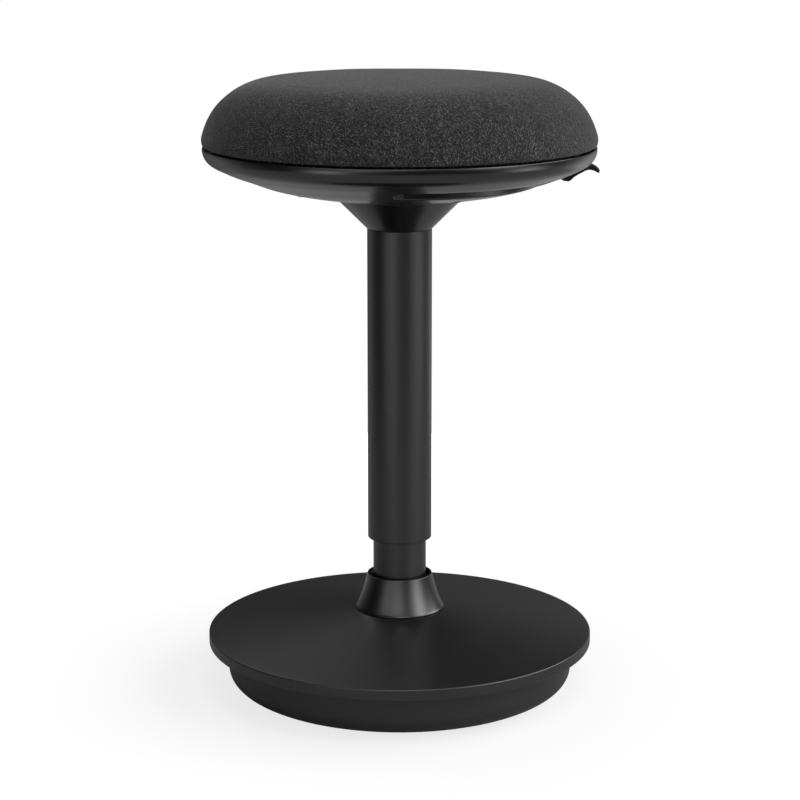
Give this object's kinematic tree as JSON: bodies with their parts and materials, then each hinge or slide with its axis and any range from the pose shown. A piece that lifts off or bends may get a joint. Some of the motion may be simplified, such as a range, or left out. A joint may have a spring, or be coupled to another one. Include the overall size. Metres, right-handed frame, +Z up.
{
  "type": "wobble stool",
  "caption": "Height-adjustable wobble stool with a round padded fabric seat, a telescoping gas-lift column, a lift lever and a weighted round base with a rounded underside.",
  "frame": {"origin": "centre of the flat rubber foot pad on the floor, under the column's axis", "axes": "+Z up along the column, -Y towards the front, +X towards the side with the lift lever"},
  "size_m": [0.3671, 0.3646, 0.5846],
  "materials": {
    "seat_fabric": "dark grey polyester twill, matt",
    "cushion_foam": "moulded polyurethane foam, not seen",
    "plywood": "bare plywood, not seen",
    "black_plastic": "black moulded plastic with a fine satin grain",
    "black_steel": "black powder coat, satin",
    "bare_steel": "plain or zinc-plated steel, not seen",
    "ballast_iron": "raw casting, not seen",
    "black_rubber": "matt black rubber",
    "pale_nylon": "natural nylon, not seen"
  },
  "bodies": {
    "base": {"foot_pad": "black_rubber", "rocker_shell": "black_plastic", "ballast_plate": "ballast_iron", "base_disc": "black_plastic", "base_screw_1": "black_steel", "base_screw_2": "black_steel", "base_screw_3": "black_steel", "base_screw_4": "black_steel", "base_screw_5": "black_steel", "base_screw_6": "black_steel", "column_socket": "bare_steel", "socket_bolt_1": "bare_steel", "socket_bolt_2": "bare_steel", "socket_bolt_3": "bare_steel", "socket_bolt_4": "bare_steel", "collar": "black_plastic", "column_tube": "black_steel", "column_bush": "black_plastic", "thrust_washer_lower": "bare_steel", "ball_cage": "bare_steel"},
    "rod": {"piston_rod": "bare_steel", "rod_clip": "bare_steel", "thrust_washer_upper": "bare_steel", "bump_ring": "black_rubber", "piston": "bare_steel", "piston_seal": "black_rubber"},
    "seat": {"pressure_tube": "bare_steel", "rod_guide": "pale_nylon", "valve_head": "pale_nylon", "taper_hub": "black_steel", "mechanism_plate": "black_steel", "plate_bolt_1": "bare_steel", "plate_bolt_2": "bare_steel", "plate_bolt_3": "bare_steel", "plate_bolt_4": "bare_steel", "t_nut_1": "bare_steel", "t_nut_2": "bare_steel", "t_nut_3": "bare_steel", "t_nut_4": "bare_steel", "seat_board": "plywood", "seat_cover": "seat_fabric", "seat_foam": "cushion_foam", "seat_pan": "black_plastic", "pan_screw_1": "black_steel", "pan_screw_2": "black_steel", "pan_screw_3": "black_steel", "pan_screw_4": "black_steel", "cover_tube": "black_steel", "glide_ring": "black_plastic", "cone_cover": "black_plastic", "lever_bracket": "black_steel", "pivot_pin": "bare_steel"},
    "lever": {"lever_arm": "black_steel", "lever_handle": "black_plastic"},
    "valve_pin": {"valve_pin": "bare_steel"}
  },
  "joints": [
    {"name": "seat_swivel", "type": "hinge", "parent": "base", "child": "rod", "pos_m": [0, 0, 0.036], "axis": [0, 0, 1], "continuous": true},
    {"name": "seat_lift", "type": "slide", "parent": "rod", "child": "seat", "axis": [0, 0, 1], "range_m": [-0.035, 0.205]},
    {"name": "lever_pull", "type": "hinge", "parent": "seat", "child": "lever", "pos_m": [0.06932, 0.00974, 0.48435], "axis": [0.1392, -0.9903, 0], "range_deg": [0, 2.45], "stiffness_Nm_per_rad": 8, "springref_deg": -1.15},
    {"name": "valve_press", "type": "slide", "parent": "seat", "child": "valve_pin", "axis": [0, 0, -1], "range_m": [0, 0.003]}
  ],
  "couplings": [
    {"joint": "valve_press", "follows": "lever_pull", "m_per_rad": 0.07}
  ]
}
